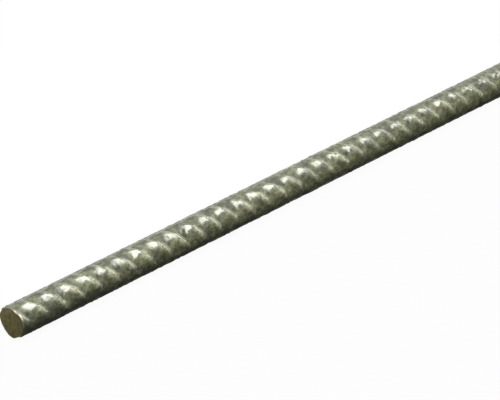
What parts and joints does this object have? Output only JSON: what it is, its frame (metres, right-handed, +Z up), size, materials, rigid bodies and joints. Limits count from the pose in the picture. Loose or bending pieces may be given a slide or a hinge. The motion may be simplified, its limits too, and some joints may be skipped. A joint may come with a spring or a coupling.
{
  "type": "steel reinforcing bar",
  "caption": "Straight round steel reinforcing bar with slanting ribs rolled round its length, sheared off square at both ends.",
  "frame": {"origin": "under the middle of the bar's length, on the level surface that it lies on", "axes": "+X along the bar, +Z up away from the surface it lies on, +Y level across the bar"},
  "size_m": [0.6096, 0.0126, 0.0127],
  "materials": {
    "mill_scale_steel": "hot-rolled mill scale, worn bright on the ribs, olive grey"
  },
  "bodies": {
    "root": {"reinforcing_bar": "mill_scale_steel"}
  },
  "joints": []
}
